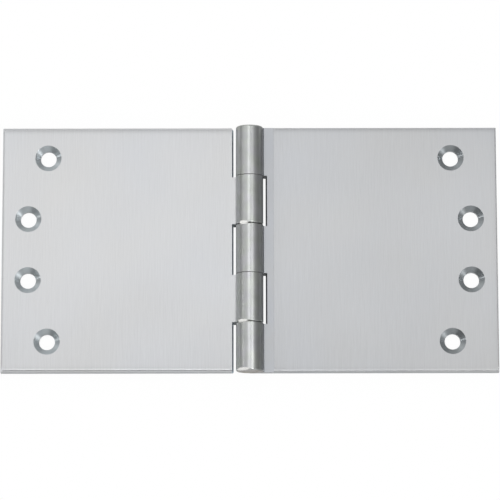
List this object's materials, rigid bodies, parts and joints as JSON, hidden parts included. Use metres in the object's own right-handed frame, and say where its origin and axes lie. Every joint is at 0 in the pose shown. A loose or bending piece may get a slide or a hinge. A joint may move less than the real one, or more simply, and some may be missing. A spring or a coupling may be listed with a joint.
{
  "type": "broad butt hinge",
  "caption": "Wide flat butt hinge: rectangular satin metal leaves with countersunk screw holes fold about a plain round barrel, to swing a door clear of its frame.",
  "frame": {"origin": "under the middle of the pin, level with the backs of the open leaves", "axes": "+X across the leaves to the outer edge of the leaf that holds the pin, +Y along the pin, +Z out of the countersunk faces"},
  "size_m": [0.2, 0.1, 0.011],
  "materials": {
    "satin_leaf": "satin, with a very fine grain along the pin",
    "pin_steel": "turned, slightly darker than the leaves"
  },
  "bodies": {
    "pin_leaf": {"three_knuckle_leaf": "satin_leaf", "hinge_pin": "pin_steel"},
    "turning_leaf": {"two_knuckle_leaf": "satin_leaf"}
  },
  "joints": [
    {"name": "leaf_swing", "type": "hinge", "parent": "pin_leaf", "child": "turning_leaf", "pos_m": [0, 0, 0.0055], "axis": [0, 1, 0], "range_deg": [-90, 180]}
  ]
}
